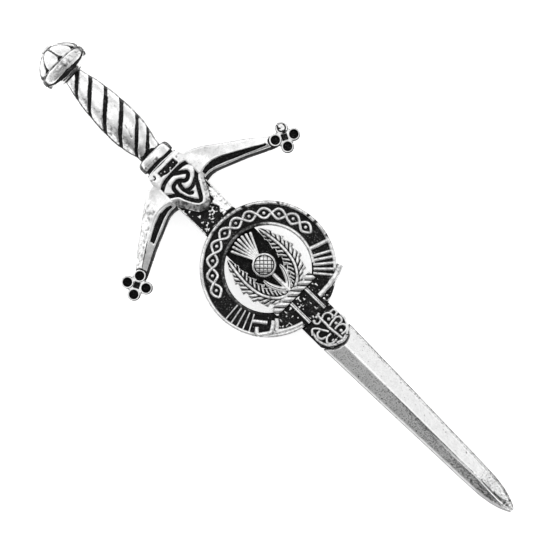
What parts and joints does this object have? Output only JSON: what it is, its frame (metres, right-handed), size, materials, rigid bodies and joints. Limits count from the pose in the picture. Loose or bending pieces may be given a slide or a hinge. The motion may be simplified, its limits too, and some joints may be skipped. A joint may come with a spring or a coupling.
{
  "type": "kilt pin",
  "caption": "Kilt pin shaped as a highland sword with a drooping guard, a strap-and-buckle badge with a thistle on the blade, and a brooch pin behind.",
  "frame": {"origin": "centre of the bounding box in x and y, on the surface that the brooch pin's hinge block and catch rest on", "axes": "+x to the viewer's right across the guard, +y from the blade's point to the pommel, +z from the brooch pin behind up to the decorated face"},
  "size_m": [0.037, 0.1028, 0.0086],
  "materials": {
    "pewter": "polished cast pewter, blackened in its hollows",
    "pewter_black": "cast pewter with a blackened ground and polished relief",
    "steel": "nickel-plated steel brooch pin"
  },
  "bodies": {
    "root": {"pommel": "pewter", "grip": "pewter", "collar": "pewter", "guard": "pewter", "blade": "pewter", "badge_strap": "pewter_black", "buckle": "pewter", "strap_tail": "pewter_black", "chape": "pewter_black", "crest": "pewter", "back_pin": "steel"}
  },
  "joints": []
}
